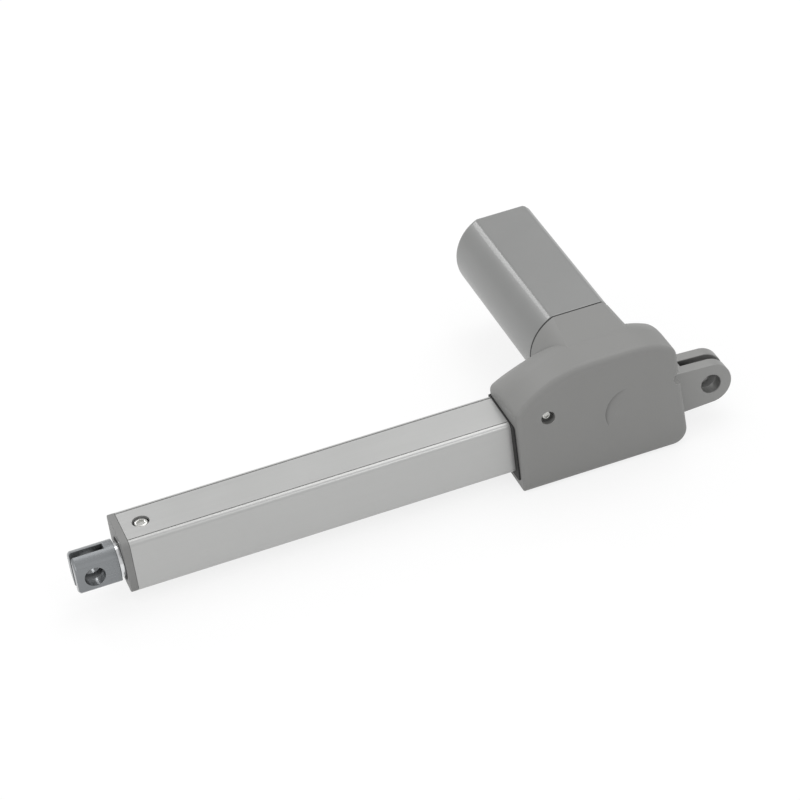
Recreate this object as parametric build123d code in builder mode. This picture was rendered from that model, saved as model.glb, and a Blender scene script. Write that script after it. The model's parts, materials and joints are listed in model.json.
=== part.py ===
from build123d import *
import os
from math import acos, atan, cos, pi, radians, sin, tan

# Electric linear actuator: a right-angle worm drive turns a threaded spindle inside a square tube,
# and the nut on the spindle pushes a round rod in and out.
# The origin is the centre of the rear eye's bore, on the spindle's axis.
# +X points along the spindle to the rod's end, +Z up, and the motor lies along -Y.

os.makedirs("parts", exist_ok=True)

# Travel and mounting eyes
stroke = 150.0
dead_length = 167.0
eye_bore_radius = 5.1
eye_slot_width = 4.2
eye_thickness = 17.0
eye_radius = 11.0
eye_root_height = 24.0
eye_root_x = 22.5
eye_slot_root = 13.0
eye_shank_height = 20.0
eye_shank_end = 36.0
eye_pin_x = 24.5
eye_pin_radius = 2.2
eye_pin_top = 17.0
eye_pin_edge = 0.5

# Clearances
running_gap = 0.05
slide_gap = 0.3
seat_gap = 0.02
tooth_backlash = 0.15
chamber_gap = 0.6
clip_gap = 0.2
screw_tip_gap = 0.5

# Gear housing
housing_rear_x = 18.5
housing_front_x = 106.0
near_y = 21.5
far_y = -17.8
bottom_z = -19.8
roof_z = 43.0
front_top_z = 25.0
rear_top_z = 35.0
rear_lean = 3.0
bottom_cover_thickness = 2.2
bottom_rib_height = 1.0
rear_notch_radius = 3.6
rear_notch_depth = 9.0
rear_notch_place = (21.0, 18.8)
dent_place = (48.3, 9.9)
dent_radius = 13.0
dent_chord = 7.0
dent_depth = 1.1
dent_angle = 30.0

# The roof is level on the near side and falls away towards the far side
crown_y = 4.0
far_roof_drop = 13.0
far_rear_drop = 8.0
far_front_drop = 5.5
rear_corner = 8.0
front_corner = 3.5
shoulder_radius = 4.0
rear_shoulder_radius = 6.0
near_edge = 3.0
far_edge = 3.0
roof_level_front = 7.0
roof_level_rear = 14.0
halfway_share = 0.25

# Worm drive: with an even number of turns a gap in the thread faces the wheel's top tooth
module = 1.0
wheel_teeth = 29
worm_pitch_radius = 7.5
worm_turns = 6
pressure_angle = 20.0
gear_x = 57.5
wheel_width = 11.0
hub_length = 3.0
wheel_side_gap = 2.0
hub_side_gap = 1.5
hub_radius = 7.6
screw_lead = 4.0

# Motor and its cover
cover_radius = 22.9
cover_wall = 2.2
cover_end_edge = 4.0
seam_y = -24.5
gasket_thickness = 0.8
gasket_inset = 0.6
collar_dip = 0.3
collar_flare = 1.5
rear_corner_x = -19.6
rear_corner_drop = 2.6
rear_tangent_angle = 155.0
can_radius = 18.5
can_wall = 1.5
can_gap = 0.4
can_front_y = -20.0
can_front_thickness = 2.5
boss_radius = 8.85
boss_length = 7.5
motor_shaft_radius = 3.0
bush_wall = 2.0
bush_length = 6.5
armature_radius = 12.0
armature_y = -42.0
armature_length = 52.0
armature_gap = 3.0
magnet_radius = 13.5
magnet_angle = 100.0
commutator_radius = 6.5
commutator_length = 10.0
brush_room = 5.0
brush_cap_thickness = 6.0
bolt_radius = 1.4
bolt_offset = 15.3
bolt_end_y = -12.5
bolt_head_height = 2.0
cap_spigot = 2.0
cap_spigot_bore = 8.5
post_radius = 3.2
post_length = 10.8
post_offset = 12.0

# Outer tube, with its centre line beside and above the spindle's axis
tube_side = 29.0
tube_corner = 3.0
tube_wall = 2.0
tube_y = -1.75
tube_z = 1.5
tube_seat = 12.0
tube_groove_width = 0.5
tube_groove_depth = 0.3

# Recess round the tube at the housing's front, which holds the rubber seal
recess_depth = 3.5
recess_y = (-16.65, 16.9)
recess_z = (-15.4, 16.5)
recess_corner = 1.5
seal_lip = 0.8

# Spindle, nut and rod
spindle_radius = 6.0
wheel_seat_radius = 5.0
journal_radius = 4.0
collar_radius = 7.5
collar_width = 3.0
rear_journal_length = 17.0
key_length = 8.0
key_width = 3.0
key_z = (3.4, 6.4)
clip_height = 2.2
clip_width = 1.0
rod_radius = 9.0
rod_bore = 7.0
rod_seat_radius = 8.2
rod_seat_length = 8.0
nut_x = 110.0
nut_length = 24.0
nut_y = (-13.7, 9.7)
nut_z = (-9.7, 9.4)
nut_edge = 1.0
rod_eye_edge = 1.0
guide_ring_length = 10.0
cap_flange = 3.8
cap_plug = 4.5
rod_guide_length = 10.0
wiper_radius = 10.5
wiper_width = 2.0
rod_eye_radius = 10.4
rod_eye_flat = 8.1
rod_eye_gap = 2.1
rod_eye_reach = 12.4
rod_eye_past_bore = 9.0
rod_eye_slot_root = 7.5
rod_spigot_length = 8.5
pin_radius = 1.5
pin_end_gap = 0.3

# Ball bearing on the spindle
bearing_radius = 12.0
bearing_width = 6.0
race_step = 1.2
shield_width = 0.6
retainer_width = 4.0
retainer_bore = 9.0
shoulder_height = 2.0

# Screws
screw_radius = 1.4
screw_head_radius = 2.6
screw_head_height = 1.3
side_screw_x = 90.2
side_screw_z = 19.8
side_recess_radius = 3.6
side_recess_depth = 3.6
side_screw_length = 9.0
side_screw_head_radius = 2.3
guide_screw_head_radius = 3.4
guide_screw_recess_radius = 4.3
guide_screw_depth = 0.5
cover_end_screw_length = 8.0

# Travel limit switches on their board under the tube's roof
board_y = (-9.0, 5.0)
board_thickness = 1.5
switch_size = (8.0, 8.0, 2.5)
switch_gap = 9.2
board_gap = 2.2

# Socket for the supply, in the housing's far wall
inlet_x = (38.0, 48.0)
inlet_z = (-13.0, -5.0)
inlet_depth = 7.0
inlet_rim = 1.2
inlet_pin_radius = 0.7
inlet_pin_offset = 2.0
inlet_pin_end = 0.8

# Worked out from the driving dimensions
wheel_radius = module * wheel_teeth / 2
motor_z = wheel_radius + worm_pitch_radius
worm_pitch = pi * module
addendum = 0.9 * module
dedendum = 1.15 * module
tooth_half = (worm_pitch / 2 - tooth_backlash) / 2
flank_slope = tan(radians(pressure_angle))
cover_flat = roof_z - motor_z
bottom_seam_z = bottom_z + bottom_cover_thickness
rod_bore_x = stroke + dead_length
rod_end_x = rod_bore_x - rod_eye_reach
cap_front_x = rod_end_x - rod_eye_gap
tube_end_x = cap_front_x - cap_flange
cap_rear_x = tube_end_x - cap_plug
guide_x = cap_rear_x - rod_guide_length
guide_screw_x = (guide_x + cap_rear_x) / 2
guide_ring_x = guide_x - clip_gap
tube_start_x = housing_front_x - tube_seat
tube_inside = tube_side - 2 * tube_wall
tube_top_z = tube_z + tube_side / 2
tube_roof_z = tube_z + tube_inside / 2
bearing_x = gear_x + wheel_width / 2 + hub_length
bearing_front_x = bearing_x + bearing_width
race_circle = (bearing_radius + spindle_radius) / 2
nut_front_x = nut_x + nut_length
chamber_rear_x = gear_x - wheel_width / 2 - wheel_side_gap
chamber_front_x = bearing_x - hub_side_gap
wheel_tip = wheel_radius + addendum
worm_tip = worm_pitch_radius + addendum
worm_root = worm_pitch_radius - dedendum
worm_half_length = worm_turns * worm_pitch / 2
near_bush_y = worm_half_length + wheel_side_gap
bush_radius = motor_shaft_radius + bush_wall
rear_bush_radius = journal_radius + bush_wall
magnet_length = armature_length + 2 * armature_gap
commutator_y = armature_y - armature_length - armature_gap
can_end_y = commutator_y - commutator_length - brush_room
brush_cap_y = can_end_y - brush_cap_thickness
cover_inner_end_y = brush_cap_y - post_length
cover_end_y = cover_inner_end_y - cover_wall
board_x = (nut_x - board_gap, guide_x - board_gap)
switch_x = (nut_x + board_gap, guide_x - switch_gap - switch_size[0])


def finish(part, label):
    """Names a finished piece and writes its file."""
    part.label = label
    export_step(part, f"parts/{label}.step")
    print(label, len(part.solids()), round(part.volume), "mm3")


def cylinder_x(radius, x0, x1, mode=Mode.ADD, centre=(0.0, 0.0)):
    """A round bar along X between two stations, about the spindle's axis unless a centre is given."""
    plane = Plane(origin=(x0, centre[0], centre[1]), x_dir=(0, 1, 0), z_dir=(1, 0, 0))
    with BuildSketch(plane) as disc:
        Circle(radius)
    extrude(disc.sketch, amount=x1 - x0, mode=mode)


def cylinder_y(radius, y0, y1, mode=Mode.ADD, centre=(gear_x, motor_z)):
    """A round bar along Y between two stations, about the motor's axis unless a centre is given."""
    plane = Plane(origin=(centre[0], y0, centre[1]), x_dir=(1, 0, 0), z_dir=(0, 1, 0))
    with BuildSketch(plane) as disc:
        Circle(radius)
    extrude(disc.sketch, amount=y1 - y0, mode=mode)


def cylinder_z(radius, z0, z1, centre, mode=Mode.ADD):
    """A round bar along Z between two heights."""
    with BuildSketch(Plane.XY.offset(z0)) as disc:
        with Locations(centre):
            Circle(radius)
    extrude(disc.sketch, amount=z1 - z0, mode=mode)


def block(x, y, z, mode=Mode.ADD):
    """A square-edged block given by its limits along each axis."""
    with BuildSketch(Plane.XY.offset(z[0])) as base:
        with Locations(((x[0] + x[1]) / 2, (y[0] + y[1]) / 2)):
            Rectangle(x[1] - x[0], y[1] - y[0])
    extrude(base.sketch, amount=z[1] - z[0], mode=mode)


def square_bar(x0, x1, side, corner, mode=Mode.ADD):
    """A square bar with rounded corners on the tube's centre line."""
    plane = Plane(origin=(x0, tube_y, tube_z), x_dir=(0, 1, 0), z_dir=(1, 0, 0))
    with BuildSketch(plane) as outline:
        RectangleRounded(side, side, corner)
    extrude(outline.sketch, amount=x1 - x0, mode=mode)


def rounded_bar_x(x0, x1, y, z, corner, mode=Mode.ADD):
    """A bar along X with rounded corners, given by its limits along Y and Z."""
    plane = Plane(origin=(x0, 0, 0), x_dir=(0, 1, 0), z_dir=(1, 0, 0))
    with BuildSketch(plane) as outline:
        with Locations(((y[0] + y[1]) / 2, (z[0] + z[1]) / 2)):
            RectangleRounded(y[1] - y[0], z[1] - z[0], corner)
    extrude(outline.sketch, amount=x1 - x0, mode=mode)


def motor_section(y, inset, flat):
    """The motor's section at one station: round, flat on top, with a squarer corner at the rear."""
    radius = cover_radius - inset
    corner = rear_corner_x + inset
    tangent = radians(rear_tangent_angle)
    with BuildSketch(Plane(origin=(gear_x, y, motor_z), x_dir=(1, 0, 0), z_dir=(0, -1, 0))) as outline:
        Circle(radius)
        with Locations((0, (flat - radius) / 2)):
            Rectangle(2 * radius, flat + radius, mode=Mode.INTERSECT)
        with BuildLine():
            Polyline(
                (0, 0),
                (0, flat),
                (corner + rear_corner_drop, flat),
                (corner, flat - rear_corner_drop),
                (radius * cos(tangent), radius * sin(tangent)),
                close=True,
            )
        make_face()
    return outline.sketch


def motor_bar(inset, y0, y1, mode=Mode.ADD):
    """A bar along -Y with the motor cover's section, made smaller all round by an inset."""
    extrude(motor_section(y0, inset, cover_flat - inset), amount=y0 - y1, mode=mode)


def arc_radius(run, drop):
    """The radius of an arc that starts level and falls by a drop over a run."""
    return (run**2 + drop**2) / (2 * drop)


def rear_wall_x(z):
    """Where the leaning rear wall stands at a height."""
    return housing_rear_x + rear_lean * (z - bottom_z) / (rear_top_z - bottom_z)


def above_roof(y, share):
    """The room above the roof at one station along Y, with the roof lowered by a share of its drops."""
    top = roof_z - share * far_roof_drop
    front_top = front_top_z - share * far_front_drop
    rear_top = rear_top_z - share * far_rear_drop
    roof_front_x = gear_x + roof_level_front
    roof_rear_x = gear_x - roof_level_rear
    rear = rear_wall_x(rear_top)
    front_arc = arc_radius(housing_front_x - roof_front_x, top - front_top)
    rear_arc = arc_radius(roof_rear_x - rear, top - rear_top)
    with BuildSketch(Plane(origin=(0, y, 0), x_dir=(1, 0, 0), z_dir=(0, -1, 0))) as room:
        with BuildLine():
            RadiusArc((housing_front_x, front_top), (roof_front_x, top), -front_arc)
            Line((roof_front_x, top), (roof_rear_x, top))
            RadiusArc((roof_rear_x, top), (rear, rear_top), -rear_arc)
            Polyline(
                (rear, rear_top),
                (0, rear_top),
                (0, 2 * roof_z),
                (2 * housing_front_x, 2 * roof_z),
                (2 * housing_front_x, front_top),
                (housing_front_x, front_top),
            )
        make_face()
    return room.sketch


def housing_form():
    """The housing's whole outer form, before the bottom cover is parted from it."""
    with BuildPart() as form:
        with BuildSketch(Plane.XZ.offset(-near_y)) as side:
            with BuildLine():
                Polyline(
                    (housing_rear_x, bottom_z),
                    (housing_front_x, bottom_z),
                    (housing_front_x, 1.5 * roof_z),
                    (rear_wall_x(1.5 * roof_z), 1.5 * roof_z),
                    close=True,
                )
            make_face()
            low_corners = side.vertices().group_by(Axis.Y)[0].sort_by(Axis.X)
            fillet(low_corners[0], rear_corner)
            fillet(low_corners[-1], front_corner)
        extrude(side.sketch, amount=near_y - far_y)
        extrude(above_roof(near_y, 0.0), amount=near_y - crown_y, mode=Mode.SUBTRACT)
        stations = [(crown_y, 0.0), ((crown_y + far_y) / 2, halfway_share), (far_y, 1.0)]
        loft([above_roof(y, share) for y, share in stations], mode=Mode.SUBTRACT)
        across = [edge for edge in form.edges() if far_y < edge.center().Y < near_y]
        across = [edge for edge in across if edge.center().Z > tube_top_z]
        fillet([edge for edge in across if edge.center().X > housing_front_x - 1], shoulder_radius)
        rear_limit = rear_wall_x(roof_z) + 1
        fillet([edge for edge in across if edge.center().X < rear_limit], rear_shoulder_radius)
        side_faces = form.faces().filter_by(Axis.Y).sort_by(Axis.Y)
        fillet(side_faces[-1].edges(), near_edge)
        side_faces = form.faces().filter_by(Axis.Y).sort_by(Axis.Y)
        fillet(side_faces[0].edges(), far_edge)
        collar_root = motor_section(crown_y, -collar_flare, cover_flat - collar_dip)
        loft([motor_section(seam_y, 0.0, cover_flat), collar_root])
    return form.part


def screw(plane, head_radius, head_height, radius, length):
    """A cap screw whose head ends at the plane and whose shank runs down from the head."""
    socket_share = 0.7
    with BuildSketch(plane.offset(-head_height)) as head:
        Circle(head_radius)
    extrude(head.sketch, amount=head_height)
    with BuildSketch(plane.offset(-head_height)) as shank:
        Circle(radius)
    extrude(shank.sketch, amount=-length)
    with BuildSketch(plane) as socket:
        RegularPolygon(head_radius / 2, 6)
    extrude(socket.sketch, amount=-head_height * socket_share, mode=Mode.SUBTRACT)


whole_housing = housing_form()

# Screw places that the housing and its covers share
cover_screw_places = [(33.0, 15.5), (33.0, -13.0), (84.0, 15.8), (84.0, -14.5)]
cover_screw_top = -9.0
bolt_places = [(gear_x - bolt_offset, motor_z), (gear_x + bolt_offset, motor_z)]
post_places = [(gear_x, motor_z - post_offset), (gear_x, motor_z + post_offset)]


def worm_chamber_cuts():
    """Cuts the room for the wheel, the worm, their bearings and the motor's front out of the housing."""
    room = wheel_tip + chamber_gap
    cylinder_x(room, chamber_rear_x, chamber_front_x, Mode.SUBTRACT)
    block((chamber_rear_x, chamber_front_x), (-room, room), (bottom_seam_z, 0.0), Mode.SUBTRACT)
    cylinder_x(rear_bush_radius, eye_shank_end, chamber_rear_x, Mode.SUBTRACT)
    cylinder_x(bearing_radius - shoulder_height, chamber_front_x, bearing_x, Mode.SUBTRACT)
    cylinder_x(bearing_radius + seat_gap, bearing_x, tube_start_x, Mode.SUBTRACT)
    cylinder_y(boss_radius + seat_gap, can_front_y, near_bush_y, Mode.SUBTRACT)
    cylinder_y(bush_radius + seat_gap, near_bush_y, near_bush_y + bush_length + slide_gap, Mode.SUBTRACT)
    cylinder_y(can_radius + can_gap, seam_y, can_front_y, Mode.SUBTRACT)
    for place in bolt_places:
        cylinder_y(bolt_radius + seat_gap, can_front_y, bolt_end_y + screw_tip_gap, Mode.SUBTRACT, place)


with BuildPart() as gear_housing:
    add(whole_housing)
    block((0, 2 * housing_front_x), (2 * seam_y, 2 * near_y), (2 * bottom_z, bottom_seam_z), Mode.SUBTRACT)
    worm_chamber_cuts()
    shank = eye_shank_height / 2 + seat_gap
    root = eye_root_height / 2 + seat_gap
    eye_side = eye_thickness / 2 + seat_gap
    block((0, eye_shank_end), (-eye_side, eye_side), (-shank, shank), Mode.SUBTRACT)
    block((0, eye_root_x), (-eye_side, eye_side), (-root, root), Mode.SUBTRACT)
    pin_room_top = eye_pin_top + slide_gap
    cylinder_z(eye_pin_radius + seat_gap, bottom_seam_z, pin_room_top, (eye_pin_x, 0), Mode.SUBTRACT)
    square_bar(tube_start_x, housing_front_x, tube_side + 2 * seat_gap, tube_corner, Mode.SUBTRACT)
    rounded_bar_x(
        housing_front_x - recess_depth, housing_front_x, recess_y, recess_z, recess_corner, Mode.SUBTRACT
    )
    side_screw_place = (side_screw_x, side_screw_z)
    cylinder_y(side_recess_radius, near_y - side_recess_depth, near_y, Mode.SUBTRACT, side_screw_place)
    side_screw_end = near_y - side_recess_depth - side_screw_length - screw_tip_gap
    cylinder_y(screw_radius + seat_gap, side_screw_end, near_y, Mode.SUBTRACT, side_screw_place)
    for place in cover_screw_places:
        screw_hole_top = cover_screw_top + screw_tip_gap
        cylinder_z(screw_radius + seat_gap, bottom_seam_z, screw_hole_top, place, Mode.SUBTRACT)
    block(inlet_x, (far_y, far_y + inlet_depth), inlet_z, Mode.SUBTRACT)
    cylinder_y(rear_notch_radius, near_y - rear_notch_depth, near_y, Mode.SUBTRACT, rear_notch_place)
    tilt = atan(dent_depth / (dent_radius - dent_chord))
    lean = radians(dent_angle)
    dent_normal = (sin(tilt) * cos(lean), cos(tilt), sin(tilt) * sin(lean))
    dent_y = near_y + dent_chord * tan(tilt)
    dent_origin = (dent_place[0], dent_y, dent_place[1])
    dent_plane = Plane(origin=dent_origin, x_dir=(0, 0, 1), z_dir=dent_normal)
    with BuildSketch(dent_plane) as dent:
        Circle(dent_radius)
    extrude(dent.sketch, amount=2 * dent_depth, mode=Mode.SUBTRACT)
finish(gear_housing.part, "gear_housing")

with BuildPart() as bottom_cover:
    add(whole_housing)
    block((0, 2 * housing_front_x), (2 * seam_y, 2 * near_y), (bottom_seam_z, 2 * roof_z), Mode.SUBTRACT)
    rib_y = wheel_tip + chamber_gap - slide_gap
    rib_x = (chamber_rear_x + slide_gap, chamber_front_x - slide_gap)
    block(rib_x, (-rib_y, rib_y), (bottom_seam_z, bottom_seam_z + bottom_rib_height))
    for place in cover_screw_places:
        cylinder_z(screw_radius + seat_gap, bottom_z, bottom_seam_z, place, Mode.SUBTRACT)
        head_top = bottom_z + screw_head_height
        cylinder_z(screw_head_radius + seat_gap, bottom_z, head_top, place, Mode.SUBTRACT)
finish(bottom_cover.part, "bottom_cover")

with BuildPart() as cover_screws:
    for place in cover_screw_places:
        head_plane = Plane(origin=(place[0], place[1], bottom_z), x_dir=(1, 0, 0), z_dir=(0, 0, -1))
        shank_length = cover_screw_top - bottom_z - screw_head_height
        screw(head_plane, screw_head_radius, screw_head_height, screw_radius, shank_length)
finish(cover_screws.part, "cover_screws")

with BuildPart() as side_screw:
    seat_y = near_y - side_recess_depth
    head_plane = Plane(
        origin=(side_screw_x, seat_y + screw_head_height, side_screw_z), x_dir=(1, 0, 0), z_dir=(0, 1, 0)
    )
    screw(head_plane, side_screw_head_radius, screw_head_height, screw_radius, side_screw_length)
finish(side_screw.part, "side_screw")

with BuildPart() as tube_seal:
    seal_x = housing_front_x - recess_depth
    inner_y = (recess_y[0] + seat_gap, recess_y[1] - seat_gap)
    inner_z = (recess_z[0] + seat_gap, recess_z[1] - seat_gap)
    seal_end_x = housing_front_x + seal_lip
    rounded_bar_x(seal_x, seal_end_x, inner_y, inner_z, recess_corner)
    square_bar(seal_x, seal_end_x, tube_side + 2 * seat_gap, tube_corner, Mode.SUBTRACT)
finish(tube_seal.part, "tube_seal")

with BuildPart() as power_inlet:
    inlet_y = (far_y, far_y + inlet_depth - seat_gap)
    outer_x = (inlet_x[0] + seat_gap, inlet_x[1] - seat_gap)
    outer_z = (inlet_z[0] + seat_gap, inlet_z[1] - seat_gap)
    block(outer_x, inlet_y, outer_z)
    mouth_x = (inlet_x[0] + inlet_rim, inlet_x[1] - inlet_rim)
    mouth_z = (inlet_z[0] + inlet_rim, inlet_z[1] - inlet_rim)
    block(mouth_x, (far_y, far_y + inlet_depth / 2), mouth_z, Mode.SUBTRACT)
    inlet_middle = ((inlet_x[0] + inlet_x[1]) / 2, (inlet_z[0] + inlet_z[1]) / 2)
    for offset_x in (-inlet_pin_offset, inlet_pin_offset):
        pin_place = (inlet_middle[0] + offset_x, inlet_middle[1])
        cylinder_y(inlet_pin_radius, far_y + inlet_pin_end, far_y + inlet_depth / 2, Mode.ADD, pin_place)
finish(power_inlet.part, "power_inlet")

with BuildPart() as rear_eye:
    with BuildSketch(Plane.XZ.offset(-eye_thickness / 2)) as ear:
        Circle(eye_radius)
        with BuildLine():
            Polyline(
                (0, eye_radius),
                (housing_rear_x, eye_root_height / 2),
                (eye_root_x, eye_root_height / 2),
                (eye_root_x, -eye_root_height / 2),
                (housing_rear_x, -eye_root_height / 2),
                (0, -eye_radius),
                close=True,
            )
        make_face()
        with Locations(((eye_root_x + eye_shank_end) / 2, 0)):
            Rectangle(eye_shank_end - eye_root_x, eye_shank_height)
        Circle(eye_bore_radius, mode=Mode.SUBTRACT)
    extrude(amount=eye_thickness)
    slot_y = eye_slot_width / 2
    slot_z = (-2 * eye_radius, 2 * eye_radius)
    block((-2 * eye_radius, eye_slot_root), (-slot_y, slot_y), slot_z, Mode.SUBTRACT)
    cylinder_z(eye_pin_radius + seat_gap, -eye_root_height, eye_root_height, (eye_pin_x, 0), Mode.SUBTRACT)
    bush_seat_x = eye_shank_end - bush_length - screw_tip_gap
    cylinder_x(rear_bush_radius + seat_gap, bush_seat_x, eye_shank_end, Mode.SUBTRACT)
finish(rear_eye.part, "rear_eye")

with BuildPart() as eye_pin:
    cylinder_z(eye_pin_radius, bottom_seam_z + seat_gap, eye_pin_top, (eye_pin_x, 0))
    chamfer(eye_pin.faces().sort_by(Axis.Z)[-1].edges(), eye_pin_edge)
finish(eye_pin.part, "eye_pin")

with BuildPart() as rear_bush:
    cylinder_x(rear_bush_radius, eye_shank_end - bush_length, eye_shank_end)
    cylinder_x(journal_radius + running_gap, eye_shank_end - bush_length, eye_shank_end, Mode.SUBTRACT)
finish(rear_bush.part, "rear_bush")


def ring(inner, outer, x0, x1):
    """A plain ring about the spindle's axis."""
    cylinder_x(outer, x0, x1)
    cylinder_x(inner, x0, x1, Mode.SUBTRACT)


with BuildPart() as bearing_outer_ring:
    ring(race_circle + race_step, bearing_radius, bearing_x, bearing_front_x)
finish(bearing_outer_ring.part, "bearing_outer_ring")

with BuildPart() as bearing_inner_ring:
    ring(spindle_radius + seat_gap, race_circle - race_step, bearing_x, bearing_front_x)
finish(bearing_inner_ring.part, "bearing_inner_ring")

with BuildPart() as bearing_shields:
    for shield_x in (bearing_x, bearing_front_x - shield_width):
        shield_inner = race_circle - race_step + slide_gap
        ring(shield_inner, race_circle + race_step - seat_gap, shield_x, shield_x + shield_width)
finish(bearing_shields.part, "bearing_shields")

with BuildPart() as bearing_retainer:
    ring(retainer_bore, bearing_radius, bearing_front_x, bearing_front_x + retainer_width)
finish(bearing_retainer.part, "bearing_retainer")

# Key and clip that hold the wheel on the spindle
key_x = (gear_x - key_length / 2, gear_x + key_length / 2)
key_y = (-key_width / 2, key_width / 2)
clip_x = gear_x - wheel_width / 2 - clip_width

with BuildPart() as spindle:
    journal_start_x = eye_shank_end - bush_length
    journal_end_x = journal_start_x + rear_journal_length
    cylinder_x(journal_radius, journal_start_x, journal_end_x)
    cylinder_x(wheel_seat_radius, journal_end_x, bearing_x)
    cylinder_x(spindle_radius, bearing_x, guide_ring_x)
    cylinder_x(collar_radius, bearing_front_x, bearing_front_x + collar_width)
    cylinder_x(wheel_seat_radius, guide_ring_x, guide_ring_x + guide_ring_length)
    block(key_x, key_y, (key_z[0], spindle_radius), Mode.SUBTRACT)
finish(spindle.part, "spindle")

with BuildPart() as wheel_key:
    block(
        (key_x[0] + seat_gap, key_x[1] - seat_gap),
        (key_y[0] + seat_gap, key_y[1] - seat_gap),
        (key_z[0] + seat_gap, key_z[1] - seat_gap),
    )
finish(wheel_key.part, "wheel_key")

with BuildPart() as wheel_clip:
    ring(wheel_seat_radius + seat_gap, wheel_seat_radius + clip_height, clip_x, clip_x + clip_width)
finish(wheel_clip.part, "wheel_clip")

with BuildPart() as spindle_guide:
    guide_ring_end_x = guide_ring_x + guide_ring_length
    ring(wheel_seat_radius + seat_gap, rod_bore - running_gap, guide_ring_x, guide_ring_end_x)
finish(spindle_guide.part, "spindle_guide")


def involute(angle):
    """The involute function of an angle in radians."""
    return tan(angle) - angle


def tooth_angle(radius):
    """Half the angle that a wheel tooth takes up at a radius."""
    base = wheel_radius * cos(radians(pressure_angle))
    at_base = tooth_half / wheel_radius + involute(radians(pressure_angle))
    if radius <= base:
        return at_base
    return at_base - involute(acos(base / radius))


def around(radius, angle):
    """A point at a radius, with its angle measured from the wheel's top."""
    return (-radius * sin(angle), radius * cos(angle))


def wheel_section(x):
    """The wheel's toothed outline at one station, turned there by the helix of its teeth."""
    twist = (x - gear_x) * worm_pitch / (2 * pi * worm_pitch_radius) / wheel_radius
    root = wheel_radius - dedendum
    step = 2 * pi / wheel_teeth
    with BuildSketch(Plane(origin=(x, 0, 0), x_dir=(0, 1, 0), z_dir=(1, 0, 0))) as outline:
        with BuildLine():
            for tooth in range(wheel_teeth):
                middle = twist + tooth * step
                low = tooth_angle(root)
                pitch = tooth_angle(wheel_radius)
                tip = tooth_angle(wheel_tip)
                Line(around(root, middle - step + low), around(root, middle - low))
                Polyline(
                    around(root, middle - low),
                    around(wheel_radius, middle - pitch),
                    around(wheel_tip, middle - tip),
                    around(wheel_tip, middle + tip),
                    around(wheel_radius, middle + pitch),
                    around(root, middle + low),
                )
        make_face()
    return outline.sketch


with BuildPart() as worm_wheel:
    wheel_rear = gear_x - wheel_width / 2
    wheel_front = gear_x + wheel_width / 2
    loft([wheel_section(wheel_rear), wheel_section(wheel_front)], ruled=True)
    cylinder_x(hub_radius, wheel_front, bearing_x)
    cylinder_x(wheel_seat_radius + seat_gap, wheel_rear, bearing_x, Mode.SUBTRACT)
    block(key_x, key_y, (0.0, key_z[1]), Mode.SUBTRACT)
finish(worm_wheel.part, "worm_wheel")

with BuildPart() as worm_shaft:
    cylinder_y(motor_shaft_radius, brush_cap_y + 1.0, near_bush_y + bush_length)
    cylinder_y(worm_root, -worm_half_length - 0.5, worm_half_length + 0.5)
    with BuildLine() as thread_path:
        Helix(
            worm_pitch,
            worm_turns * worm_pitch,
            worm_pitch_radius,
            center=(gear_x, -worm_half_length, motor_z),
            direction=(0, 1, 0),
        )
    thread = thread_path.line
    with BuildSketch(Plane(origin=thread @ 0, x_dir=(0, 0, 1), z_dir=thread % 0)) as thread_section:
        root_half = tooth_half + (dedendum + seat_gap) * flank_slope
        tip_half = tooth_half - addendum * flank_slope
        with BuildLine():
            Polyline(
                (-dedendum - seat_gap, root_half),
                (addendum, tip_half),
                (addendum, -tip_half),
                (-dedendum - seat_gap, -root_half),
                close=True,
            )
        make_face()
    sweep(thread_section.sketch, path=thread, is_frenet=True)
finish(worm_shaft.part, "worm_shaft")

with BuildPart() as worm_near_bush:
    cylinder_y(bush_radius, near_bush_y, near_bush_y + bush_length)
    cylinder_y(motor_shaft_radius + running_gap, near_bush_y, near_bush_y + bush_length, Mode.SUBTRACT)
finish(worm_near_bush.part, "worm_near_bush")

with BuildPart() as worm_far_bush:
    far_bush_y = can_front_y - can_front_thickness
    cylinder_y(bush_radius, far_bush_y, far_bush_y + bush_length)
    cylinder_y(motor_shaft_radius + running_gap, far_bush_y, far_bush_y + bush_length, Mode.SUBTRACT)
finish(worm_far_bush.part, "worm_far_bush")

with BuildPart() as motor_gasket:
    motor_bar(gasket_inset, seam_y, seam_y - gasket_thickness)
    cylinder_y(can_radius + can_gap, seam_y - gasket_thickness, seam_y, Mode.SUBTRACT)
finish(motor_gasket.part, "motor_gasket")

with BuildPart() as motor_cover:
    cover_front_y = seam_y - gasket_thickness
    motor_bar(0.0, cover_front_y, cover_end_y)
    fillet(motor_cover.faces().sort_by(Axis.Y)[0].edges(), cover_end_edge)
    motor_bar(cover_wall, cover_front_y, cover_inner_end_y, Mode.SUBTRACT)
    for place in post_places:
        cylinder_y(screw_radius + seat_gap, cover_end_y, cover_inner_end_y, Mode.SUBTRACT, place)
        head_seat = cover_end_y + screw_head_height
        cylinder_y(screw_head_radius + seat_gap, cover_end_y, head_seat, Mode.SUBTRACT, place)
finish(motor_cover.part, "motor_cover")

with BuildPart() as cover_end_screws:
    for place in post_places:
        head_plane = Plane(origin=(place[0], cover_end_y, place[1]), x_dir=(1, 0, 0), z_dir=(0, -1, 0))
        screw(head_plane, screw_head_radius, screw_head_height, screw_radius, cover_end_screw_length)
finish(cover_end_screws.part, "cover_end_screws")

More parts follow.
